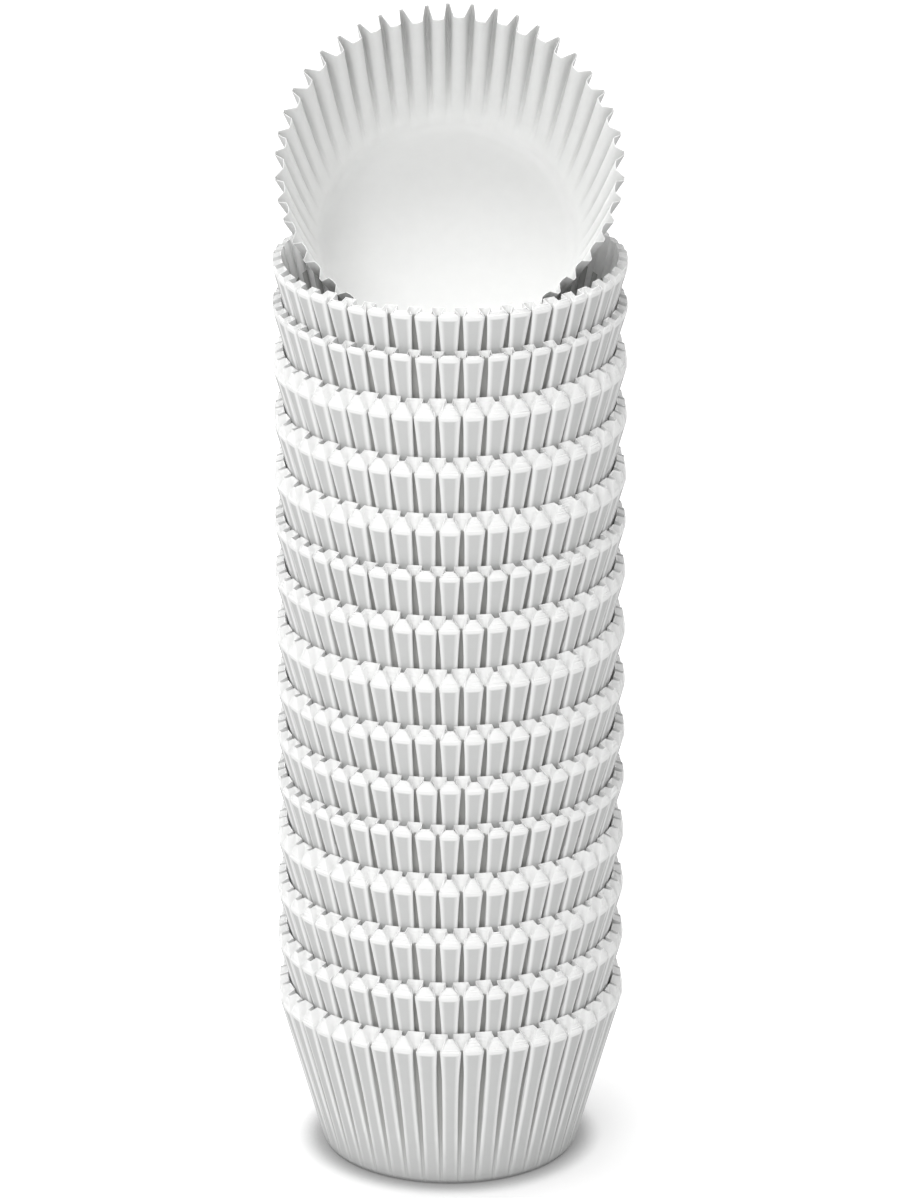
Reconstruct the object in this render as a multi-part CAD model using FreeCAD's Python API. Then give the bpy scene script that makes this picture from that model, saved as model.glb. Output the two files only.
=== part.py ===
import FreeCAD
import Part
import math
import os

V = FreeCAD.Vector

# Driving sizes, in millimetres and degrees.
base_diameter = 50.0
wall_height = 32.0
rim_diameter = 68.3
pleat_count = 46
paper_thickness = 0.08
nest_gap = 0.02
floor_air = 0.09
pleat_depth = 1.78
flank_run = 0.22
ridge_share = 0.46
seat_clearance = 0.12

# Liners in each bundle, from the table up, and how far each bundle leans about X and Y.
liners_in_bundle = [13, 10, 11, 13, 7, 9, 10, 13, 10, 7, 13, 11, 13, 4, 5]
bundle_leans = [
    (0.0, 0.0), (0.2, -0.25), (-0.1, -0.1), (-0.3, 0.15), (-0.1, 0.3),
    (0.2, 0.15), (0.25, -0.15), (-0.05, -0.35), (-0.3, -0.1), (-0.05, 0.2),
    (0.3, 0.15), (0.15, -0.25), (-0.2, -0.15), (-0.1, 0.2), (0.2, 0.05),
]

# The loose liner that leans on the top bundle, open towards the front.
loose_pleat_depth = 2.6
loose_flank_run = 0.85
loose_axis_rise = 44.0
loose_squeeze = 0.98
loose_stretch = 1.03
loose_clearance = 0.2
loose_reach = 15.0

PARTS = "parts"
SETTLE_ROUNDS = 30
FOLD_SAMPLES = 24

base_radius = base_diameter / 2
rim_radius = rim_diameter / 2
flare = rim_radius - base_radius
slope = math.atan2(flare, wall_height)
wall_slant = math.hypot(flare, wall_height)
corner_shift = (1 - math.sin(slope)) / math.cos(slope)
sheet_pitch = paper_thickness + nest_gap
pleat_angle = 2 * math.pi / pleat_count
flat_tolerance = 1e-7


def polar(radius, angle, z):
    return V(radius * math.cos(angle), radius * math.sin(angle), z)


def stack_depth(liners):
    """Thickness of a bundle's wall, square to the paper."""
    return liners * sheet_pitch - nest_gap


def flat_widths(radius, flank, depth, shift):
    """Widths of a ridge and of a groove floor, the ridge widened by the paper outside it."""
    flats = pleat_angle * radius - 2 * flank
    spread = 2 * math.tan((math.pi / 2 - math.atan2(flank, depth)) / 2) * shift
    return flats * ridge_share + spread, flats * (1 - ridge_share) - spread


def corner_radius(inset, lift):
    """Radius where the floor meets the wall of a skin that lies inset and lifted."""
    return base_radius - (inset - lift * math.sin(slope)) / math.cos(slope)


def pleated_skin(corner, slant, lift, shift, depth, flank, ovals=(1.0, 1.0)):
    """Fold points of one skin of a pleated wall: its ring at the floor and its ring at the rim."""
    ridge_radius = corner + slant * math.sin(slope)
    ridge_z = lift + slant * math.cos(slope)
    groove_radius = ridge_radius - depth
    groove_z = lift + math.sqrt(slant ** 2 - (groove_radius - corner) ** 2)
    ridge, groove = flat_widths(ridge_radius - depth / 2, flank, depth, shift)
    foot_ridge = pleat_angle * corner * ridge_share + 2 * shift
    foot = []
    rim = []
    for pleat in range(pleat_count):
        middle = pleat * pleat_angle - math.pi / 2
        half = foot_ridge / 2 / corner
        foot.append(polar(corner, middle - half, lift))
        foot.append(polar(corner, middle + half, lift))
        half = math.atan2(ridge / 2, ridge_radius)
        rim.append(polar(ridge_radius / math.cos(half), middle - half, ridge_z))
        rim.append(polar(ridge_radius / math.cos(half), middle + half, ridge_z))
        half = math.atan2(groove / 2, groove_radius)
        middle += pleat_angle / 2
        rim.append(polar(groove_radius / math.cos(half), middle - half, groove_z))
        rim.append(polar(groove_radius / math.cos(half), middle + half, groove_z))
    rim = [V(p.x * ovals[0], p.y * ovals[1], p.z) for p in rim]
    return foot, rim


def panel(*corners):
    """One flat face, or two triangles where four corners aren't in one plane."""
    if len(corners) == 4:
        a, b, c, d = corners
        if abs((b - a).cross(c - a).dot(d - a)) > flat_tolerance:
            return panel(a, b, c) + panel(a, c, d)
    return [Part.Face(Part.makePolygon(list(corners) + [corners[0]]))]


def wall_panels(foot, rim):
    """The ridges, groove floors and flanks of one skin."""
    faces = []
    for pleat in range(pleat_count):
        f0, f1 = foot[2 * pleat:2 * pleat + 2]
        f2 = foot[(2 * pleat + 2) % len(foot)]
        r0, r1, r2, r3 = rim[4 * pleat:4 * pleat + 4]
        r4 = rim[(4 * pleat + 4) % len(rim)]
        faces += panel(f0, f1, r1, r0)
        faces += panel(f1, r2, r1)
        faces += panel(f1, f2, r3, r2)
        faces += panel(f2, r4, r3)
    return faces


def cup(outer, inner):
    """A closed solid between an outer and an inner skin."""
    faces = wall_panels(*outer) + wall_panels(*inner)
    faces += [Part.Face(Part.makePolygon(skin[0] + [skin[0][0]])) for skin in (outer, inner)]
    count = len(outer[1])
    for i in range(count):
        j = (i + 1) % count
        faces += panel(outer[1][i], outer[1][j], inner[1][j], inner[1][i])
    shell = Part.Shell(faces)
    shell.sewShape()
    solid = Part.Solid(shell)
    if solid.Volume < 0:
        solid.reverse()
    return solid


def skin_at(sheet, side, liners):
    """Outer (0) or inner (1) skin of one sheet of a bundle, counted from the outside."""
    inset = sheet * sheet_pitch + side * paper_thickness
    lift = sheet * (sheet_pitch + floor_air)
    corner = corner_radius(inset - side * paper_thickness, lift)
    slant = wall_slant + base_radius - corner
    corner -= side * paper_thickness * corner_shift
    slant -= side * paper_thickness * corner_shift
    lift += side * paper_thickness
    shift = stack_depth(liners) / 2 - inset
    return pleated_skin(corner, slant, lift, shift, pleat_depth, flank_run)


def bundle(liners):
    """The outermost liner, the liners pressed together inside it and the innermost liner."""
    last = liners - 1
    return {
        "outer_liner": cup(skin_at(0, 0, liners), skin_at(0, 1, liners)),
        "packed_liners": cup(skin_at(1, 0, liners), skin_at(last - 1, 1, liners)),
        "inner_liner": cup(skin_at(last, 0, liners), skin_at(last, 1, liners)),
    }


def inner_groove(liners):
    """Radius and height of the innermost groove floor at the rim of a bundle."""
    rim = skin_at(liners - 1, 1, liners)[1]
    edge = (rim[2] + rim[3]) / 2
    return math.hypot(edge.x, edge.y), edge.z


def seat_height(liners):
    """Height on a bundle's own wall where its ridges meet the grooves of the bundle below."""
    radius = inner_groove(liners)[0] - seat_clearance
    return (radius - base_radius) / math.tan(slope)


def bundle_places():
    """Where each bundle stands, its seat ring centred in the rim of the bundle below."""
    places = []
    seat = V(0, 0, 0)
    ring = V(0, 0, 0)
    for liners, lean in zip(liners_in_bundle, bundle_leans):
        turn = FreeCAD.Rotation(V(1, 0, 0), lean[0])
        turn = turn.multiply(FreeCAD.Rotation(V(0, 1, 0), lean[1]))
        places.append(FreeCAD.Placement(seat - turn.multVec(ring), turn))
        seat = places[-1].multVec(V(0, 0, inner_groove(liners)[1]))
        ring = V(0, 0, seat_height(liners))
    return places


def loose_skins():
    """Skins of a single liner with wider, sharper pleats, a little taller than wide at its rim."""
    skins = []
    for side in (0, 1):
        trim = side * paper_thickness * corner_shift
        lift = side * paper_thickness
        shift = paper_thickness / 2 - lift
        skins.append(pleated_skin(base_radius - trim, wall_slant - trim, lift, shift,
                                  loose_pleat_depth, loose_flank_run,
                                  (loose_squeeze, loose_stretch)))
    return skins


def tip_over(point):
    """A point of the loose liner, tipped about the middle of its rim to face the front."""
    turn = FreeCAD.Rotation(V(1, 0, 0), 90 - loose_axis_rise)
    return turn.multVec(point - V(0, 0, wall_height))


def fold_points(foot, rim):
    """Points along every ridge corner of the tipped liner."""
    points = []
    for pleat in range(pleat_count):
        for side in (0, 1):
            low = tip_over(foot[2 * pleat + side])
            high = tip_over(rim[4 * pleat + side])
            points += [low + (high - low) * (i / FOLD_SAMPLES) for i in range(FOLD_SAMPLES + 1)]
    return points


def clear_height(points, back):
    """Lowest height of the tipped liner above the top bundle's grooves at a place along Y."""
    liners = liners_in_bundle[-1]
    mouth, rim_z = inner_groove(liners)
    foot = skin_at(liners - 1, 1, liners)[0][0]
    rise = (rim_z - foot.z) / (mouth - math.hypot(foot.x, foot.y))
    mouth -= loose_clearance
    lift = 0
    for point in points:
        reach = math.hypot(point.x, point.y + back)
        if reach < rim_radius + loose_clearance:
            lift = max(lift, min(0, (reach - mouth) * rise) - point.z)
    return rim_z + lift


def settled(points):
    """Place along Y where the tipped liner sits lowest, held by both sides of the cup."""
    low, high = -loose_reach, 0
    for _ in range(SETTLE_ROUNDS):
        third = (high - low) / 3
        if clear_height(points, low + third) < clear_height(points, high - third):
            high -= third
        else:
            low += third
    return V(0, low, clear_height(points, low))


def loose_liner(place):
    """The liner that rests in the mouth of the top bundle, open towards the front."""
    skins = loose_skins()
    spot = settled(fold_points(*skins[0]))
    print("loose liner stands at", spot)
    skins = [[[place.multVec(tip_over(p) + spot) for p in ring] for ring in skin] for skin in skins]
    return cup(*skins)


def export(shape, name):
    shape.exportStep(os.path.join(PARTS, name + ".step"))
    print(name, len(shape.Faces), shape.isValid(), round(shape.Volume, 1))


os.makedirs(PARTS, exist_ok=True)
made = {liners: bundle(liners) for liners in set(liners_in_bundle)}
places = bundle_places()
for number, place in enumerate(places):
    for piece, shape in made[liners_in_bundle[number]].items():
        placed = shape.copy()
        placed.Placement = place
        export(placed, "bundle_%02d_%s" % (number + 1, piece))
export(loose_liner(places[-1]), "tilted_liner")
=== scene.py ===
import math
import random
from collections import namedtuple

import bmesh
import bpy
from bpy.props import FloatProperty, FloatVectorProperty, IntProperty, PointerProperty
from bpy.types import Operator, Panel, PropertyGroup
from mathutils import Matrix, Vector, noise


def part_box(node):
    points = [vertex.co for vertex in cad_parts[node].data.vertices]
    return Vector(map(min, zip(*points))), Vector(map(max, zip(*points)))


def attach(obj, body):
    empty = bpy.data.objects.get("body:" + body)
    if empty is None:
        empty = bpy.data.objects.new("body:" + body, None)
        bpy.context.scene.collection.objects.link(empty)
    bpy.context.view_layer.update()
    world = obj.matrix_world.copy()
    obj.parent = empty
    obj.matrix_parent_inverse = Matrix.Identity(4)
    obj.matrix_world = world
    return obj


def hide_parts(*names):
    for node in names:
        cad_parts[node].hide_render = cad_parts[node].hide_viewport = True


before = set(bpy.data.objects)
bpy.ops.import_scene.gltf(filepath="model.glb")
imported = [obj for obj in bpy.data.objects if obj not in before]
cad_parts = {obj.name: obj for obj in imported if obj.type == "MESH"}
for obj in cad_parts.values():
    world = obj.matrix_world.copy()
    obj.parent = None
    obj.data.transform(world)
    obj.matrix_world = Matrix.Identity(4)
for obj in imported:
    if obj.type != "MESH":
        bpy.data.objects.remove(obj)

bl_info = {
    "name": "Stack of cupcake liners",
    "version": (1, 0, 0),
    "blender": (4, 5, 0),
    "location": "View3D > Sidebar > Liners",
    "description": "Nested bundles of pleated paper baking cups with one loose cup on top",
    "category": "Object",
}

BODY = "root"
PHOTO_HEIGHT = 1198
FRONT = -math.pi / 2

# The fold between floor and wall: its reach in metres, a ring half way round it as shares of that
# reach, and how often the loose liner's fold is smoothed.
ROUND_OFF = 0.0009
ROUND_IN = 0.28
ROUND_UP = 0.13
CORNER_ROUNDS = 10

# How the folds open up the wall: a flank's run at the floor in metres, how high the waist lies, how
# late a pleat's rise at the rim sets in, how soon the sinking and the marks that steer the painted
# highlight and the painted shade are full, and where a fold's painted highlight starts across a
# ridge.
FOOT_FLANK = 0.00025
WAIST_BEND = 1.8
RISE_BEND = 8
SINK_GROWTH = 2
CREASE_GROWTH = 3
HOLLOW_GROWTH = 2.5
CREASE_FROM = 0.8

# The most by which one pleat differs from the next: turn in radians, width and depth as shares.
PLEAT_TURN = 0.005
PLEAT_WIDTH = 0.035
PLEAT_SHALLOWER = 0.1

# The usual rise or fall of one pleat's rim, and the most that one sheet's edge adds, in metres.
RIM_RISE = 0.00013
CUT_RISE = 0.00007

# How uneven the pleats are, in the bundles and in the loose liner.
BUNDLE_UNEVENNESS = 1.0
LOOSE_UNEVENNESS = 1.6

# Waves round a rim: how many, how high in metres, and where they start.
SHARED_WAVES = [(2, 0.00009, 0.6), (3, 0.00006, 1.9)]
LOOSE_WAVES = [(3, 0.00025, 0.4), (5, 0.0002, 2.2)]

# The loose liner's floor: a dome and dents in metres, dents a metre, and how soon both fade.
FLOOR_DOME = 0.0004
FLOOR_DENT = 0.00035
DENT_SCALE = 45
DENT_LAYER = 3.1
FLOOR_FADE = 6

# Seeds: one run of them for each bundle, its last for the innermost liner, and the loose liner's.
SEEDS_A_BUNDLE = 100
INNERMOST_SEED = 99
LOOSE_SEED = 77

# Noises in the paper: features a metre, detail and, for the fibres, roughness.
CLOUD = (420.0, 3.0)
FLECK = (2600.0, 2.0)
FIBRE = (3800.0, 4.0, 0.65)
COCKLE = (260.0, 1.0)
CLOUD_SHARE = 0.7
FLECK_SHARE = 0.3
COCKLE_HEIGHT = 2.5

# Over what reach the paper's tones change at the floor's edge and the painted light sets in at the
# rim, as shares of the wall's slant, and how late the painted shade sets in on the way down into a
# groove.
FLOOR_BLEND = 0.07
RIM_BLEND = 0.015
GROOVE_BEND = 1.5

# Where the painted light of the cut edge starts up the wall, and how strong it and the painted
# highlight on the pressed folds are.
BUNDLE_EDGES = {"rim_start": 0.968, "rim_light_strength": 1.0, "crease_highlight_strength": 0.9}
LOOSE_EDGES = {"rim_start": 0.98, "rim_light_strength": 0.35, "crease_highlight_strength": 0.3}

# Sockets of a Mix node that mixes colours.
MIX_FACTOR = 0
MIX_FIRST = 6
MIX_SECOND = 7
MIX_RESULT = 2

# The table top, in metres, its grey, and the shadow painted into its colour close by the stack's
# foot.
TABLE_HALF = 6.0
TABLE_DROP = 0.0001
TABLE_GREY = (0.5, 0.5, 0.5)
CONTACT_REACH = 0.007
CONTACT_SAMPLES = 8

# What the two lamps face.
KEY_AIM = (0, 0, 0.12)
TOP_AIM = (0, 0, 0.1)

# Liners in each bundle, from the table up, and how far each bundle leans about X and Y, in degrees.
LINERS_IN_BUNDLE = [13, 10, 11, 13, 7, 9, 10, 13, 10, 7, 13, 11, 13, 4, 5]
BUNDLE_LEANS = [
    (0.0, 0.0), (0.2, -0.25), (-0.1, -0.1), (-0.3, 0.15), (-0.1, 0.3),
    (0.2, 0.15), (0.25, -0.15), (-0.05, -0.35), (-0.3, -0.1), (-0.05, 0.2),
    (0.3, 0.15), (0.15, -0.25), (-0.2, -0.15), (-0.1, 0.2), (0.2, 0.05),
]

# Stations of one pleat's section: where, how far across that flat (-1 to 1), and sunk by (metres)
# or, on a flank, how far down it towards the groove (a share).
FINE_FOLDS = [
    ("flank", -1.0, 0.5), ("ridge", -1.0, 0.00020), ("ridge", -0.84, 0.00003),
    ("ridge", -0.45, 0.00002), ("ridge", 0.0, 0.00003), ("ridge", 0.45, 0.00002),
    ("ridge", 0.84, 0.00003), ("ridge", 1.0, 0.00020), ("flank", 1.0, 0.5),
    ("groove", -1.0, 0.00014), ("groove", 0.0, 0.0), ("groove", 1.0, 0.00014),
]
COARSE_FOLDS = [
    ("ridge", -1.0, 0.00020), ("ridge", -0.84, 0.00003), ("ridge", 0.84, 0.00003),
    ("ridge", 1.0, 0.00020), ("groove", -1.0, 0.00014), ("groove", 1.0, 0.00014),
]

# Heights of the rings of points up the slanted wall, as shares of its slant.
FULL_WALL = [0.035, 0.09, 0.2, 0.34, 0.48, 0.62, 0.76, 0.88, 0.95, 1.0]
UPPER_WALL = [0.05, 0.35, 0.6, 0.7, 0.8, 0.9, 0.96, 1.0]
HIDDEN_WALL = [0.87, 1.0]
INNER_WALL = [0.04, 0.6, 0.92, 1.0]
LOOSE_WALL = [0.03, 0.08, 0.16, 0.26, 0.38, 0.5, 0.62, 0.74, 0.85, 0.94, 1.0]
LOOSE_FLOOR = [0.36, 0.5, 0.64, 0.76, 0.86, 0.94, 0.98]

# One sheet's outer skin: radius of its floor, slant of its wall, height of its floor, how far it
# lies outside the middle of its bundle's wall, and the sizes of its pleats.
Skin = namedtuple(
    "Skin", "corner slant lift shift depth flank ridge_share fade bulge waist", defaults=(0.0, 0.0))

# How one pleat differs from an even one: its turn, its width and depth as shares, its rim's rise.
Pleat = namedtuple("Pleat", "turn width depth rise")


class LinerSizes(PropertyGroup):
    """Sizes of every liner and of how a bundle nests."""
    base_diameter: FloatProperty(
        name="Floor diameter", description="Across the flat round floor", default=0.050,
        unit="LENGTH")
    wall_height: FloatProperty(
        name="Wall height", description="Height of the ridges at the rim", default=0.032,
        unit="LENGTH")
    rim_diameter: FloatProperty(
        name="Rim diameter", description="Across the rim, over the ridges", default=0.0683,
        unit="LENGTH")
    pleat_count: IntProperty(name="Pleats", description="Folds round the wall", default=46, min=8)
    paper: FloatProperty(
        name="Paper", description="Thickness of the paper", default=0.00008, unit="LENGTH")
    nest_gap: FloatProperty(
        name="Nest gap", description="Air between nested walls", default=0.00002, unit="LENGTH")
    floor_air: FloatProperty(
        name="Floor air", description="More air between nested floors", default=0.00009,
        unit="LENGTH")
    pleat_depth: FloatProperty(
        name="Pleat depth", description="Ridge to groove at the rim", default=0.00178,
        unit="LENGTH")
    flank_run: FloatProperty(
        name="Flank run", description="Sideways run of a pleat's flank", default=0.00022,
        unit="LENGTH")
    ridge_share: FloatProperty(
        name="Ridge share", description="Ridge's part of the flats of one pleat", default=0.46,
        subtype="FACTOR")
    slit_width: FloatProperty(
        name="Slit width", description="Between the ridges of an outermost liner at its rim",
        default=0.0006, unit="LENGTH")
    waist: FloatProperty(
        name="Waist", description="How much narrower an outermost liner's ridges are below its rim",
        default=0.0006, unit="LENGTH")
    seat_clearance: FloatProperty(
        name="Seat clearance", description="Between a bundle and the one it stands in",
        default=0.00012, unit="LENGTH")
    pleat_fade: FloatProperty(
        name="Pleat fade", description="How the folds open up the wall, 1 for evenly", default=0.85)


class LooseLinerSizes(PropertyGroup):
    """Sizes of the loose liner on top."""
    pleat_depth: FloatProperty(
        name="Pleat depth", description="Ridge to groove at the rim", default=0.0026, unit="LENGTH")
    flank_run: FloatProperty(
        name="Flank run", description="Sideways run of a pleat's flank", default=0.00085,
        unit="LENGTH")
    ridge_share: FloatProperty(
        name="Ridge share", description="Ridge's part of the flats of one pleat", default=0.3,
        subtype="FACTOR")
    top_depth: FloatProperty(
        name="Top depth", description="Share of that depth at the top of the rim", default=1.5)
    low_depth: FloatProperty(
        name="Low depth", description="Share of that depth at the bottom of the rim", default=0.55)
    pleat_fade: FloatProperty(
        name="Pleat fade", description="How the folds open up the wall, 1 for evenly", default=1.25)
    soft_corner: FloatProperty(
        name="Soft corner", description="How far the round of the floor's edge reaches",
        default=0.005, unit="LENGTH")
    axis_rise: FloatProperty(
        name="Axis rise", description="Tilt of its axis above level",
        default=math.radians(44.0), subtype="ANGLE")
    squeeze: FloatProperty(
        name="Squeeze", description="Width of the rim as a share of a round one", default=0.98)
    stretch: FloatProperty(
        name="Stretch", description="Height of the rim as a share of a round one", default=1.03)


class PaperLook(PropertyGroup):
    """Colours and surface of the greaseproof paper."""
    wall_colour: FloatVectorProperty(
        name="Wall", description="Colour of the flat paper", subtype="COLOR",
        default=(0.635, 0.64, 0.635))
    # Painted light: the pale colour of the folds' painted highlight, of the lit cut rim and of the
    # innermost liners.
    painted_light_colour: FloatVectorProperty(
        name="Fold", description="Colour along pressed folds and at the cut rim", subtype="COLOR",
        default=(0.96, 0.962, 0.957))
    # Painted shade deep in the bundles' grooves.
    painted_groove_shade: FloatVectorProperty(
        name="Groove", description="Colour deep in the grooves", subtype="COLOR",
        default=(0.44, 0.44, 0.43))
    # Painted light: the single liner's wall, paler than the same paper in the bundles.
    loose_wall_painted_light: FloatVectorProperty(
        name="Loose wall", description="Colour of the single liner's wall", subtype="COLOR",
        default=(0.82, 0.823, 0.817))
    # Painted shade down inside the single liner's ridges.
    painted_ridge_shade: FloatVectorProperty(
        name="Loose folds", description="Colour down inside the single liner's ridges",
        subtype="COLOR", default=(0.62, 0.623, 0.617))
    floor_colour: FloatVectorProperty(
        name="Loose floor", description="Colour of the single liner's floor", subtype="COLOR",
        default=(0.66, 0.663, 0.657))
    mottle: FloatProperty(
        name="Mottle", description="Cloudiness of the paper", default=0.035, subtype="FACTOR")
    fibre_depth: FloatProperty(
        name="Fibre depth", description="Height of the fibres", default=0.00003, unit="LENGTH")
    relief: FloatProperty(
        name="Relief", description="Strength of the fibres' relief", default=0.5, subtype="FACTOR")
    roughness: FloatProperty(
        name="Roughness", description="How matt the paper is", default=0.62, subtype="FACTOR")
    specular: FloatProperty(
        name="Specular", description="Strength of its soft sheen", default=0.35, subtype="FACTOR")


class StudioLook(PropertyGroup):
    """Where the camera stands and how strong the lamps are."""
    camera_distance: FloatProperty(
        name="Distance", description="In front of the stack's axis", default=1.5, unit="LENGTH")
    camera_height: FloatProperty(
        name="Height", description="Above the table", default=0.6703, unit="LENGTH")
    camera_pitch: FloatProperty(
        name="Pitch", description="Looking down by", default=math.radians(20.36), subtype="ANGLE")
    focal_pixels: FloatProperty(
        name="Focal length", description="In pixels of the photo's frame", default=8210.0)
    key_power: FloatProperty(
        name="Key lamp", description="Soft lamp above the left front", default=10.3, unit="POWER")
    key_place: FloatVectorProperty(
        name="Key lamp's place", description="Before and above the stack", subtype="TRANSLATION",
        default=(-0.42, -1.26, 1.1))
    top_power: FloatProperty(
        name="Top lamp", description="Soft lamp overhead", default=10.5, unit="POWER")
    top_place: FloatVectorProperty(
        name="Top lamp's place", description="Over the stack", subtype="TRANSLATION",
        default=(-0.2, 0.1, 1.4))
    lamp_size: FloatProperty(
        name="Lamp size", description="Across each round lamp", default=0.9, unit="LENGTH")
    sky: FloatProperty(name="Sky", description="Even light from all round", default=0.8)


def slope_of(sizes):
    return math.atan2((sizes.rim_diameter - sizes.base_diameter) / 2, sizes.wall_height)


def slant_of(sizes):
    return math.hypot((sizes.rim_diameter - sizes.base_diameter) / 2, sizes.wall_height)


def pitch_of(sizes):
    """Distance from one nested wall to the next, square to the paper."""
    return sizes.paper + sizes.nest_gap


def outer_skin(sizes, sheet, liners):
    """Outer skin of one sheet of a bundle, counted from the outside."""
    slope = slope_of(sizes)
    inset = sheet * pitch_of(sizes)
    lift = sheet * (pitch_of(sizes) + sizes.floor_air)
    corner = sizes.base_diameter / 2 - (inset - lift * math.sin(slope)) / math.cos(slope)
    slant = slant_of(sizes) + sizes.base_diameter / 2 - corner
    shift = (liners * pitch_of(sizes) - sizes.nest_gap) / 2 - inset
    return Skin(corner, slant, lift, shift, sizes.pleat_depth, sizes.flank_run, sizes.ridge_share,
                sizes.pleat_fade)


def bulged_skin(sizes, sheet, liners):
    """The same skin with its ridges puffed out, the outermost ones until only a slit is left."""
    pleat_angle = 2 * math.pi / sizes.pleat_count
    radius = sizes.rim_diameter / 2
    outermost = outer_skin(sizes, 0, liners)
    ridge = flat_widths(outermost, radius - sizes.pleat_depth / 2, pleat_angle)[0]
    bulge = pleat_angle * radius - sizes.slit_width - ridge
    taper = 1 - (sheet / liners) ** 2
    return outer_skin(sizes, sheet, liners)._replace(bulge=bulge * taper, waist=sizes.waist * taper)


def inner_groove(sizes, liners):
    """Radius and height of the innermost groove at a bundle's rim."""
    skin = outer_skin(sizes, liners - 1, liners)
    slope = slope_of(sizes)
    trim = sizes.paper * (1 - math.sin(slope)) / math.cos(slope)
    corner = skin.corner - trim
    slant = skin.slant - trim
    radius = corner + slant * math.sin(slope) - skin.depth
    return radius, skin.lift + sizes.paper + math.sqrt(slant ** 2 - (radius - corner) ** 2)


def bundle_places(sizes):
    """Where each bundle stands, its seat ring centred in the rim of the bundle below."""
    places = []
    seat = Vector((0, 0, 0))
    ring = Vector((0, 0, 0))
    for liners, (about_x, about_y) in zip(LINERS_IN_BUNDLE, BUNDLE_LEANS):
        turn = Matrix.Rotation(math.radians(about_x), 4, "X")
        turn = turn @ Matrix.Rotation(math.radians(about_y), 4, "Y")
        places.append(Matrix.Translation(seat - turn @ ring) @ turn)
        radius, height = inner_groove(sizes, liners)
        seat = places[-1] @ Vector((0, 0, height))
        reach = radius - sizes.seat_clearance - sizes.base_diameter / 2
        ring = Vector((0, 0, reach / math.tan(slope_of(sizes))))
    return places


def bundles(sizes):
    """Each bundle's number, count of liners, uneven pleats and place."""
    for number, place in enumerate(bundle_places(sizes)):
        pleats = irregular_pleats(sizes, number, BUNDLE_UNEVENNESS)
        yield number, LINERS_IN_BUNDLE[number], pleats, place


def flat_widths(skin, radius, pleat_angle):
    """Widths of a ridge and a groove floor at the rim, the ridge wider on a sheet further out."""
    flats = pleat_angle * radius - 2 * skin.flank
    spread = 2 * math.tan((math.pi / 2 - math.atan2(skin.flank, skin.depth)) / 2) * skin.shift
    return flats * skin.ridge_share + spread, flats * (1 - skin.ridge_share) - spread


def irregular_pleats(sizes, seed, unevenness):
    """The small differences between the pleats of one bundle, the same on every run."""
    draw = random.Random(seed)
    pleats = []
    for _ in range(sizes.pleat_count):
        pleats.append(Pleat(
            draw.uniform(-PLEAT_TURN, PLEAT_TURN) * unevenness,
            1 + draw.uniform(-PLEAT_WIDTH, PLEAT_WIDTH) * unevenness,
            1 - draw.uniform(0.0, PLEAT_SHALLOWER) * unevenness,
            draw.gauss(0, RIM_RISE) * unevenness))
    return pleats


def wall_point(sizes, skin, share, station, index, pleats):
    """One point of a pleated wall, by its share of the slant and its station on the pleat."""
    kind, across, sunk = station
    pleat = pleats[index]
    if kind == "flank":
        ridge = wall_point(sizes, skin, share, ("ridge", across, 0.0), index, pleats)
        beside = index if across > 0 else (index - 1) % len(pleats)
        groove = wall_point(sizes, skin, share, ("groove", -across, 0.0), beside, pleats)
        return ridge.lerp(groove, sunk)
    pleat_angle = 2 * math.pi / sizes.pleat_count
    slope = slope_of(sizes)
    run = skin.slant * share
    ridge_radius = skin.corner + run * math.sin(slope)
    rim_radius = skin.corner + skin.slant * math.sin(slope)
    opening = share ** skin.fade
    ridge_width, groove_width = flat_widths(skin, rim_radius - skin.depth / 2, pleat_angle)
    ridge_width += skin.bulge
    foot = pleat_angle * skin.corner - 2 * FOOT_FLANK
    foot_ridge = foot * skin.ridge_share + 2 * skin.shift
    foot_groove = foot - foot_ridge
    sunk *= min(1.0, SINK_GROWTH * share)
    if kind == "ridge":
        angle = index * pleat_angle + pleat.turn * share
        width = foot_ridge + (ridge_width * pleat.width - foot_ridge) * share
        width -= skin.waist * math.sin(math.pi * share ** WAIST_BEND)
        radius = ridge_radius - sunk
        height = skin.lift + run * math.cos(slope)
    else:
        after = pleats[(index + 1) % len(pleats)]
        angle = (index + 0.5) * pleat_angle + (pleat.turn + after.turn) / 2 * share
        width = foot_groove + (groove_width * (2 - pleat.width) - foot_groove) * share
        radius = ridge_radius - skin.depth * opening * pleat.depth + sunk
        reach = ridge_radius - skin.depth * opening - skin.corner
        height = skin.lift + math.sqrt(max(0.0, run ** 2 - reach ** 2))
    height += pleat.rise * share ** RISE_BEND
    return Matrix.Rotation(angle + FRONT, 3, "Z") @ Vector((radius, across * width / 2, height))


def crease_of(station):
    """1 for a station on a pressed fold of a ridge, 0 for any other."""
    kind, across, _ = station
    return 1.0 if kind == "ridge" and abs(across) > CREASE_FROM else 0.0


def hollow_of(station):
    """How deep a station lies in a groove: 0 on a ridge, 1 on the groove's floor."""
    kind, _, share = station
    if kind == "flank":
        return share
    return 1.0 if kind == "groove" else 0.0


def ring_out(bm, edges):
    """Extrude a ring of edges into a new ring and give back its points and edges."""
    made = bmesh.ops.extrude_edge_only(bm, edges=edges)["geom"]
    verts = [part for part in made if isinstance(part, bmesh.types.BMVert)]
    known = set(verts)
    rings = [part for part in made if isinstance(part, bmesh.types.BMEdge)
             and part.verts[0] in known and part.verts[1] in known]
    return verts, rings


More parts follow.
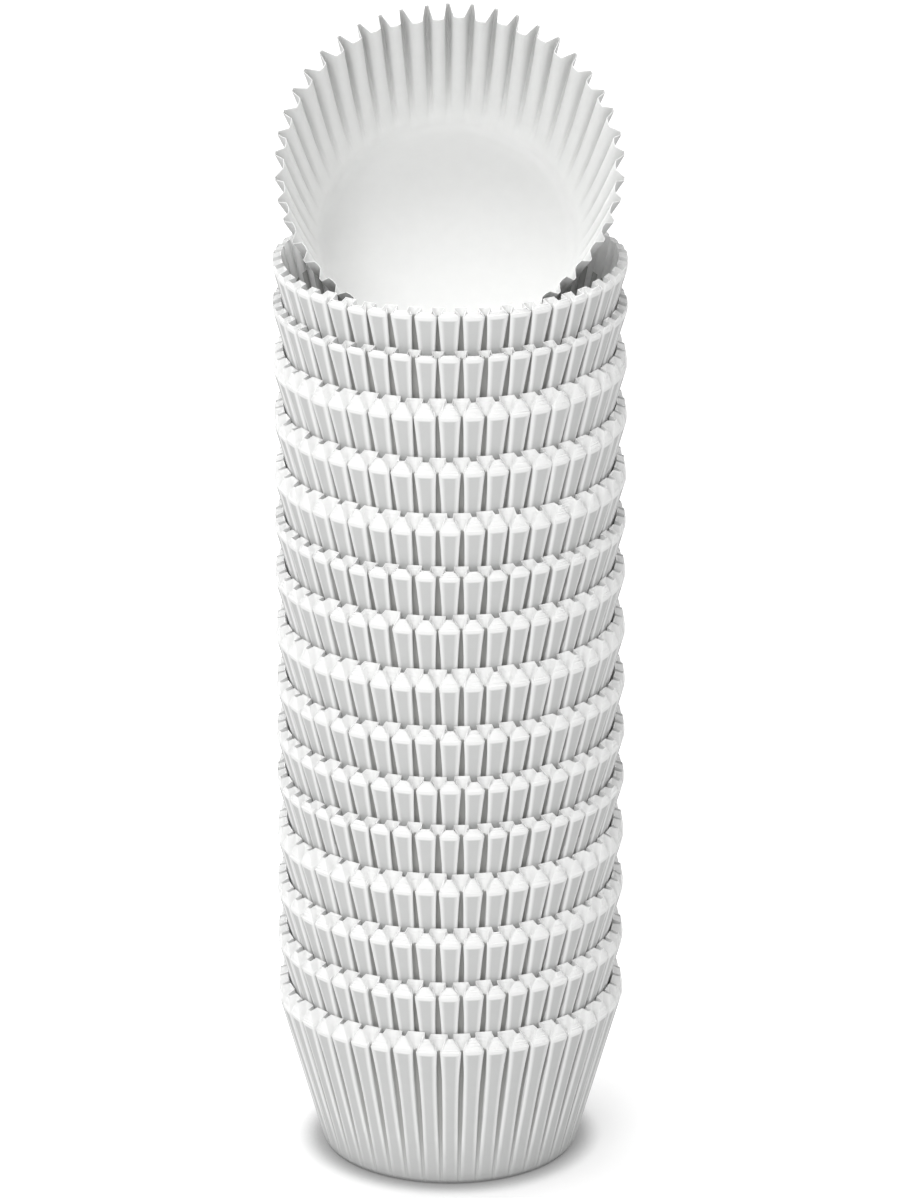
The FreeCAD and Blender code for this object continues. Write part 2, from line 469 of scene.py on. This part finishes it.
class SheetMaker:
    """Adds pleated paper cups to one mesh, each as a single skin that gets its thickness later."""

    def __init__(self, sizes, folds, levels, floor_levels=(), rounded=True, seen_inside=False):
        self.sizes = sizes
        self.folds = folds
        self.levels = levels
        self.floor_levels = floor_levels
        self.rounded = rounded
        self.seen_inside = seen_inside
        self.bm = bmesh.new()
        self.step = self.bm.verts.layers.int.new("step")
        self.crease = self.bm.verts.layers.float.new("crease")
        self.hollow = self.bm.verts.layers.float.new("hollow")
        self.rim = self.bm.verts.layers.float.new("rim")

    def mark(self, verts, share):
        """Note where these points lie: 0 at the floor's edge, 1 at the rim, below 0 on the floor."""
        up = max(0.0, share)
        for vert in verts:
            station = self.folds[vert[self.step] % len(self.folds)]
            vert[self.crease] = crease_of(station) * min(1.0, CREASE_GROWTH * up)
            hollow = hollow_of(station)
            # The hollow mark steers painted shade; seen from inside, the loose liner's ridges are
            # its hollows, so its painted shade lies inside them.
            if self.seen_inside:
                hollow = 1 - hollow
            vert[self.hollow] = hollow * min(1.0, HOLLOW_GROWTH * up)
            vert[self.rim] = share

    def place_ring(self, verts, skin, share, pleats, ovals, waves):
        for vert in verts:
            index, fold = divmod(vert[self.step], len(self.folds))
            point = wall_point(self.sizes, skin, share, self.folds[fold], index, pleats)
            angle = math.atan2(point.y, point.x)
            push = 1 + sway(waves, angle) * share / point.xy.length
            point.x *= push * (1 + (ovals[0] - 1) * share)
            point.y *= push * (1 + (ovals[1] - 1) * share)
            vert.co = point
        self.mark(verts, share)

    def add(self, skin, pleats, place, waves, ovals=(1.0, 1.0), floor=None):
        """One cup: a floor, rounded into the wall, and rings of points up the wall."""
        count = self.sizes.pleat_count * len(self.folds)
        made = bmesh.ops.create_circle(self.bm, cap_ends=True, segments=count, radius=skin.corner)
        verts = made["verts"]
        every = list(verts)
        for number, vert in enumerate(verts):
            vert[self.step] = number
        edges = list(dict.fromkeys(edge for vert in verts for edge in vert.link_edges))
        rings = [(share * (skin.corner - ROUND_OFF), 0.0) for share in self.floor_levels]
        rings.append((skin.corner - ROUND_OFF, 0.0))
        if self.rounded:
            rings.append((skin.corner - ROUND_IN * ROUND_OFF, ROUND_UP * ROUND_OFF))
        for radius, height in rings:
            if radius != rings[0][0]:
                verts, edges = ring_out(self.bm, edges)
                every += verts
            for vert in verts:
                index, fold = divmod(vert[self.step], len(self.folds))
                point = wall_point(self.sizes, skin, 0.0, self.folds[fold], index, pleats)
                point.xy *= radius / point.xy.length
                point.z = skin.lift + height
                if floor:
                    point.z += floor(point, radius / skin.corner)
                vert.co = point
            self.mark(verts, min(0.0, radius / skin.corner - 1))
        for share in self.levels:
            verts, edges = ring_out(self.bm, edges)
            every += verts
            self.place_ring(verts, skin, share, pleats, ovals, waves)
        for edge in edges:
            edge.smooth = False
        bmesh.ops.transform(self.bm, matrix=place, verts=every)

    def finish(self, name, material, nodes):
        """Turn the skins outwards, give them the paper's thickness and tie them to the frame."""
        bmesh.ops.recalc_face_normals(self.bm, faces=self.bm.faces)
        for face in self.bm.faces:
            face.smooth = True
        mesh = bpy.data.meshes.new(name)
        self.bm.to_mesh(mesh)
        self.bm.free()
        piece = bpy.data.objects.new(name, mesh)
        bpy.context.scene.collection.objects.link(piece)
        thickness = piece.modifiers.new("paper", "SOLIDIFY")
        thickness.thickness = self.sizes.paper
        thickness.offset = -1
        mesh.materials.append(material)
        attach(piece, BODY)
        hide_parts(*nodes)


def sway(waves, angle):
    """How far the rim is out of round in one direction."""
    return sum(height * math.sin(count * angle + start) for count, height, start in waves)


def sheet_pleats(pleats, seed):
    """One sheet's pleats: the bundle's, with a cut edge of its own."""
    draw = random.Random(seed)
    return [pleat._replace(rise=pleat.rise + draw.uniform(-CUT_RISE, CUT_RISE)) for pleat in pleats]


def node_name(number, kind):
    return "bundle_%02d_%s" % (number + 1, kind)


def socket(group, name, direction):
    group.interface.new_socket(name=name, in_out=direction, socket_type="NodeSocketFloat")


def link(tree, start, end):
    tree.links.new(start, end)


def math_node(tree, operation, first, second):
    """A Math node with its two inputs linked or set."""
    node = tree.nodes.new("ShaderNodeMath")
    node.operation = operation
    for slot_in, value in zip(node.inputs, (first, second)):
        if isinstance(value, bpy.types.NodeSocket):
            link(tree, value, slot_in)
        else:
            slot_in.default_value = value
    return node.outputs[0]


def noise_node(tree, coordinate, scale, detail, roughness=0.5):
    node = tree.nodes.new("ShaderNodeTexNoise")
    node.inputs["Scale"].default_value = scale
    node.inputs["Detail"].default_value = detail
    node.inputs["Roughness"].default_value = roughness
    link(tree, coordinate, node.inputs["Vector"])
    return node.outputs["Fac"]


def paper_group():
    """Fibres and cloudiness of thin paper: a tone about 1 and a height in metres."""
    group = bpy.data.node_groups.get("paper_fibres")
    if group:
        return group
    group = bpy.data.node_groups.new("paper_fibres", "ShaderNodeTree")
    socket(group, "Mottle", "INPUT")
    socket(group, "Depth", "INPUT")
    socket(group, "Tone", "OUTPUT")
    socket(group, "Height", "OUTPUT")
    start = group.nodes.new("NodeGroupInput")
    end = group.nodes.new("NodeGroupOutput")
    coordinate = group.nodes.new("ShaderNodeTexCoord").outputs["Object"]
    cloud = noise_node(group, coordinate, *CLOUD)
    fleck = noise_node(group, coordinate, *FLECK)
    fibre = noise_node(group, coordinate, *FIBRE)
    cockle = noise_node(group, coordinate, *COCKLE)
    mixed = math_node(group, "ADD", math_node(group, "MULTIPLY", cloud, CLOUD_SHARE),
                      math_node(group, "MULTIPLY", fleck, FLECK_SHARE))
    swing = math_node(group, "SUBTRACT", mixed, 0.5)
    swing = math_node(group, "MULTIPLY", swing, start.outputs["Mottle"])
    swing = math_node(group, "MULTIPLY", swing, 2.0)
    link(group, math_node(group, "ADD", swing, 1.0), end.inputs["Tone"])
    rough = math_node(group, "ADD", fibre, math_node(group, "MULTIPLY", cockle, COCKLE_HEIGHT))
    link(group, math_node(group, "MULTIPLY", rough, start.outputs["Depth"]), end.inputs["Height"])
    return group


def mix_colour(tree, factor, first, second):
    node = tree.nodes.new("ShaderNodeMix")
    node.data_type = "RGBA"
    for index, value in ((MIX_FACTOR, factor), (MIX_FIRST, first), (MIX_SECOND, second)):
        slot_in = node.inputs[index]
        if isinstance(value, bpy.types.NodeSocket):
            link(tree, value, slot_in)
        elif slot_in.type == "RGBA":
            slot_in.default_value = (*value, 1)
        else:
            slot_in.default_value = value
    return node.outputs[MIX_RESULT]


def map_range(tree, value, low, high, to_low, to_high):
    """A smooth step from one range to another."""
    node = tree.nodes.new("ShaderNodeMapRange")
    node.interpolation_type = "SMOOTHSTEP"
    link(tree, value, node.inputs["Value"])
    node.inputs["From Min"].default_value = low
    node.inputs["From Max"].default_value = high
    node.inputs["To Min"].default_value = to_low
    node.inputs["To Max"].default_value = to_high
    return node.outputs["Result"]


def attribute(tree, name):
    node = tree.nodes.new("ShaderNodeAttribute")
    node.attribute_name = name
    return node.outputs["Fac"]


def paper_material(name, look, tones, rim_start, rim_light_strength, crease_highlight_strength):
    """White greaseproof paper, with a painted highlight along its folds and painted light at its cut
    rim.

    The tones are those of the floor, of the wall and of what is painted deep in the folds: painted
    shade in the bundles' grooves and inside the loose liner's ridges, painted light in the innermost
    liners.
    """
    material = bpy.data.materials.get(name)
    if material:
        return material
    material = bpy.data.materials.new(name)
    material.use_nodes = True
    tree = material.node_tree
    shader = tree.nodes["Principled BSDF"]
    fibres = tree.nodes.new("ShaderNodeGroup")
    fibres.node_tree = paper_group()
    fibres.inputs["Mottle"].default_value = look.mottle
    fibres.inputs["Depth"].default_value = look.fibre_depth
    height = attribute(tree, "rim")
    # Painted light: the paper turns paler towards the cut rim, as if lit along the sheets' edges.
    rim_painted_light = map_range(tree, height, rim_start, rim_start + RIM_BLEND, 0.0, rim_light_strength)
    # Painted highlight along the pressed folds of the ridges.
    crease = math_node(tree, "MULTIPLY", attribute(tree, "crease"), crease_highlight_strength)
    pale = math_node(tree, "MAXIMUM", rim_painted_light, crease)
    # Painted shade: darker deep in the grooves, following the hollow mark.
    deep = math_node(tree, "POWER", attribute(tree, "hollow"), GROOVE_BEND)
    on_wall = map_range(tree, height, -FLOOR_BLEND, FLOOR_BLEND, 0.0, 1.0)
    colour = mix_colour(tree, on_wall, tones[0], tones[1])
    colour = mix_colour(tree, deep, colour, tones[2])
    colour = mix_colour(tree, pale, colour, look.painted_light_colour)
    scale = tree.nodes.new("ShaderNodeVectorMath")
    scale.operation = "SCALE"
    link(tree, colour, scale.inputs[0])
    link(tree, fibres.outputs["Tone"], scale.inputs["Scale"])
    link(tree, scale.outputs[0], shader.inputs["Base Color"])
    bump = tree.nodes.new("ShaderNodeBump")
    bump.inputs["Strength"].default_value = look.relief
    bump.inputs["Distance"].default_value = 1.0
    link(tree, fibres.outputs["Height"], bump.inputs["Height"])
    link(tree, bump.outputs["Normal"], shader.inputs["Normal"])
    shader.inputs["Roughness"].default_value = look.roughness
    shader.inputs["Specular IOR Level"].default_value = look.specular
    return material


def bundle_paper(look):
    # Painted shade deep in the grooves, with the painted highlight and light on folds and rim.
    tones = (look.wall_colour, look.wall_colour, look.painted_groove_shade)
    return paper_material("bundle_paper", look, tones, **BUNDLE_EDGES)


def inner_paper_painted_light(look):
    # Painted light: the innermost liners' walls and grooves take the pale colour, lifting the shaded
    # wedges inside the top bundle.
    tones = (look.wall_colour, look.painted_light_colour, look.painted_light_colour)
    return paper_material("inner_paper_painted_light", look, tones, **BUNDLE_EDGES)


def loose_paper(look):
    # Painted light on the loose liner's wall, painted shade down inside its ridges.
    tones = (look.floor_colour, look.loose_wall_painted_light, look.painted_ridge_shade)
    return paper_material("loose_paper", look, tones, **LOOSE_EDGES)


class LINERS_OT_outer(Operator):
    """Build the outermost liner of every bundle"""
    bl_idname = "liners.outer"
    bl_label = "Outer liners"

    def execute(self, context):
        sizes = context.scene.liner_sizes
        material = bundle_paper(context.scene.paper_look)
        for number, liners, pleats, place in bundles(sizes):
            maker = SheetMaker(sizes, FINE_FOLDS, FULL_WALL if number == 0 else UPPER_WALL)
            own_pleats = sheet_pleats(pleats, SEEDS_A_BUNDLE * number)
            maker.add(bulged_skin(sizes, 0, liners), own_pleats, place, SHARED_WAVES)
            maker.finish("outer_liner_%02d" % (number + 1), material,
                         [node_name(number, "outer_liner")])
        return {"FINISHED"}


class LINERS_OT_packed(Operator):
    """Build the liners pressed together inside every bundle"""
    bl_idname = "liners.packed"
    bl_label = "Packed liners"

    def execute(self, context):
        sizes = context.scene.liner_sizes
        material = bundle_paper(context.scene.paper_look)
        for number, liners, pleats, place in bundles(sizes):
            maker = SheetMaker(sizes, COARSE_FOLDS, HIDDEN_WALL, rounded=False)
            for sheet in range(1, liners - 1):
                own_pleats = sheet_pleats(pleats, SEEDS_A_BUNDLE * number + sheet)
                maker.add(bulged_skin(sizes, sheet, liners), own_pleats, place, SHARED_WAVES)
            maker.finish("packed_liners_%02d" % (number + 1), material,
                         [node_name(number, "packed_liners")])
        return {"FINISHED"}


class LINERS_OT_inner(Operator):
    """Build the innermost liner of every bundle"""
    bl_idname = "liners.inner"
    bl_label = "Inner liners"

    def execute(self, context):
        sizes = context.scene.liner_sizes
        material = inner_paper_painted_light(context.scene.paper_look)
        for number, liners, pleats, place in bundles(sizes):
            maker = SheetMaker(sizes, COARSE_FOLDS, INNER_WALL)
            own_pleats = sheet_pleats(pleats, SEEDS_A_BUNDLE * number + INNERMOST_SEED)
            maker.add(bulged_skin(sizes, liners - 1, liners), own_pleats, place, SHARED_WAVES)
            maker.finish("inner_liner_%02d" % (number + 1), material,
                         [node_name(number, "inner_liner")])
        return {"FINISHED"}


def floor_relief(point, share):
    """The loose liner's floor, not quite flat: a soft dome with a few shallow dents."""
    spot = Vector((point.x * DENT_SCALE, point.y * DENT_SCALE, DENT_LAYER))
    relief = noise.noise(spot) * FLOOR_DENT
    edge = min(1.0, FLOOR_FADE * (1 - share))
    middle = min(1.0, FLOOR_FADE * max(0.0, share - LOOSE_FLOOR[0]))
    return FLOOR_DOME * (1 - share * share) * edge + relief * edge * middle


def loose_pleats(sizes, loose):
    """Uneven pleats that are deepest at the top of the tilted rim and pressed flatter below."""
    pleats = []
    for index, pleat in enumerate(irregular_pleats(sizes, LOOSE_SEED, LOOSE_UNEVENNESS)):
        height = (1 - math.cos(index * 2 * math.pi / sizes.pleat_count)) / 2
        depth = loose.low_depth + (loose.top_depth - loose.low_depth) * height ** 2
        pleats.append(pleat._replace(depth=pleat.depth * depth))
    return pleats


def soften_corner(bm, sizes, reach):
    """Round the fold between a cup's floor and its wall, before the cup is tipped."""
    inside = sizes.base_diameter / 2 - reach
    corner = [vert for vert in bm.verts if vert.co.z < reach and vert.co.xy.length > inside]
    for _ in range(CORNER_ROUNDS):
        bmesh.ops.smooth_vert(
            bm, verts=corner, factor=0.5, use_axis_x=True, use_axis_y=True, use_axis_z=True)


class LINERS_OT_loose(Operator):
    """Build the loose liner that leans open on the top bundle"""
    bl_idname = "liners.loose"
    bl_label = "Tilted liner"

    def execute(self, context):
        sizes = context.scene.liner_sizes
        loose = context.scene.loose_liner
        material = loose_paper(context.scene.paper_look)
        skin = Skin(sizes.base_diameter / 2, slant_of(sizes), 0.0, 0.0,
                    loose.pleat_depth, loose.flank_run, loose.ridge_share, loose.pleat_fade)
        tip = Matrix.Rotation(math.pi / 2 - loose.axis_rise, 4, "X")
        tip = bundle_places(sizes)[-1].to_3x3().to_4x4() @ tip
        maker = SheetMaker(sizes, FINE_FOLDS, LOOSE_WALL, LOOSE_FLOOR, seen_inside=True)
        maker.add(skin, loose_pleats(sizes, loose), Matrix(), LOOSE_WAVES,
                  ovals=(loose.squeeze, loose.stretch), floor=floor_relief)
        soften_corner(maker.bm, sizes, loose.soft_corner)
        bmesh.ops.transform(maker.bm, matrix=tip, verts=maker.bm.verts)
        low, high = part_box("tilted_liner")
        corners = [vert.co for vert in maker.bm.verts]
        middle = Vector([(min(values) + max(values)) / 2 for values in zip(*corners)])
        bmesh.ops.translate(maker.bm, verts=maker.bm.verts, vec=(low + high) / 2 - middle)
        maker.finish("loose_liner", material, ["tilted_liner"])
        return {"FINISHED"}


def table_material():
    """A pale table that glows white to the camera, with a shadow painted into its colour near the
    stack's foot.
    """
    material = bpy.data.materials.new("table_white")
    material.use_nodes = True
    tree = material.node_tree
    shader = tree.nodes["Principled BSDF"]
    # Painted shadow: occlusion near the stack's foot darkens the table's colour and its glow.
    contact = tree.nodes.new("ShaderNodeAmbientOcclusion")
    contact.samples = CONTACT_SAMPLES
    contact.inputs["Distance"].default_value = CONTACT_REACH
    shade = map_range(tree, contact.outputs["AO"], low=0.4, high=0.9, to_low=0.42, to_high=1.0)
    tone = mix_colour(tree, shade, (0, 0, 0), TABLE_GREY)
    link(tree, tone, shader.inputs["Base Color"])
    shader.inputs["Roughness"].default_value = 0.9
    shader.inputs["Emission Color"].default_value = (1, 1, 1, 1)
    # A glow seen only by the camera whitens the table, less close to the stack's foot.
    reach = tree.nodes.new("ShaderNodeVectorMath")
    reach.operation = "LENGTH"
    link(tree, tree.nodes.new("ShaderNodeTexCoord").outputs["Object"], reach.inputs[0])
    glow = map_range(tree, reach.outputs["Value"], low=0.03, high=0.08, to_low=0.46, to_high=0.7)
    seen = tree.nodes.new("ShaderNodeLightPath").outputs["Is Camera Ray"]
    glow = math_node(tree, "MULTIPLY", math_node(tree, "MULTIPLY", glow, seen), shade)
    link(tree, glow, shader.inputs["Emission Strength"])
    return material


def add_lamp(name, place, aim, size, power):
    """A round soft lamp that faces a point on the stack."""
    data = bpy.data.lights.new(name, "AREA")
    data.shape = "DISK"
    data.size = size
    data.energy = power
    lamp = bpy.data.objects.new(name, data)
    bpy.context.scene.collection.objects.link(lamp)
    lamp.location = place
    lamp.rotation_euler = (Vector(aim) - Vector(place)).to_track_quat("-Z", "Y").to_euler()


def white_world(strength):
    """Even pale light on the stack, and pure white wherever the world itself is seen."""
    world = bpy.data.worlds.new("studio")
    world.use_nodes = True
    tree = world.node_tree
    tree.nodes.clear()
    out = tree.nodes.new("ShaderNodeOutputWorld")
    mix = tree.nodes.new("ShaderNodeMixShader")
    seen = tree.nodes.new("ShaderNodeBackground")
    lit = tree.nodes.new("ShaderNodeBackground")
    path = tree.nodes.new("ShaderNodeLightPath")
    seen.inputs["Strength"].default_value = 1.0
    seen.inputs["Color"].default_value = (1, 1, 1, 1)
    lit.inputs["Color"].default_value = (1, 1, 1, 1)
    lit.inputs["Strength"].default_value = strength
    plain_view = math_node(
        tree, "MAXIMUM", path.outputs["Is Camera Ray"], path.outputs["Is Glossy Ray"])
    plain_view = math_node(tree, "MAXIMUM", plain_view, path.outputs["Is Transmission Ray"])
    link(tree, plain_view, mix.inputs[0])
    link(tree, lit.outputs[0], mix.inputs[1])
    link(tree, seen.outputs[0], mix.inputs[2])
    link(tree, mix.outputs[0], out.inputs[0])
    bpy.context.scene.world = world


class LINERS_OT_stage(Operator):
    """Set the table, the lamps and the camera"""
    bl_idname = "liners.stage"
    bl_label = "Stage"

    def execute(self, context):
        studio = context.scene.studio_look
        bm = bmesh.new()
        bmesh.ops.create_grid(bm, x_segments=1, y_segments=1, size=TABLE_HALF)
        bmesh.ops.translate(bm, verts=bm.verts, vec=(0, 0, -TABLE_DROP))
        mesh = bpy.data.meshes.new("table_top")
        bm.to_mesh(mesh)
        bm.free()
        mesh.materials.append(table_material())
        table = bpy.data.objects.new("table_top", mesh)
        context.scene.collection.objects.link(table)
        add_lamp("key_lamp", studio.key_place, KEY_AIM, studio.lamp_size, studio.key_power)
        add_lamp("top_lamp", studio.top_place, TOP_AIM, studio.lamp_size, studio.top_power)
        white_world(studio.sky)
        data = bpy.data.cameras.new("camera")
        data.sensor_fit = "VERTICAL"
        data.lens = data.sensor_height * studio.focal_pixels / PHOTO_HEIGHT
        camera = bpy.data.objects.new("camera", data)
        context.scene.collection.objects.link(camera)
        camera.location = (0, -studio.camera_distance, studio.camera_height)
        camera.rotation_euler = (math.pi / 2 - studio.camera_pitch, 0, 0)
        context.scene.camera = camera
        context.scene.view_settings.view_transform = "Standard"
        return {"FINISHED"}


STEPS = (LINERS_OT_outer, LINERS_OT_packed, LINERS_OT_inner, LINERS_OT_loose, LINERS_OT_stage)


class LINERS_PT_panel(Panel):
    """Lists the sizes, colours and steps"""
    bl_label = "Cupcake liners"
    bl_space_type = "VIEW_3D"
    bl_region_type = "UI"
    bl_category = "Liners"

    def draw(self, context):
        for group in (context.scene.liner_sizes, context.scene.loose_liner,
                      context.scene.paper_look, context.scene.studio_look):
            box = self.layout.box()
            for name in group.__annotations__:
                box.prop(group, name)
        for step in STEPS:
            self.layout.operator(step.bl_idname)


GROUPS = (
    ("liner_sizes", LinerSizes), ("loose_liner", LooseLinerSizes),
    ("paper_look", PaperLook), ("studio_look", StudioLook),
)


def register():
    for name, group in GROUPS:
        bpy.utils.register_class(group)
        setattr(bpy.types.Scene, name, PointerProperty(type=group))
    for step in STEPS:
        bpy.utils.register_class(step)
    bpy.utils.register_class(LINERS_PT_panel)


def unregister():
    bpy.utils.unregister_class(LINERS_PT_panel)
    for step in reversed(STEPS):
        bpy.utils.unregister_class(step)
    for name, group in reversed(GROUPS):
        delattr(bpy.types.Scene, name)
        bpy.utils.unregister_class(group)


def main():
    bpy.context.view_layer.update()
    register()
    bpy.ops.liners.outer()
    bpy.ops.liners.packed()
    bpy.ops.liners.inner()
    bpy.ops.liners.loose()
    bpy.ops.liners.stage()


if __name__ == "__main__":
    main()
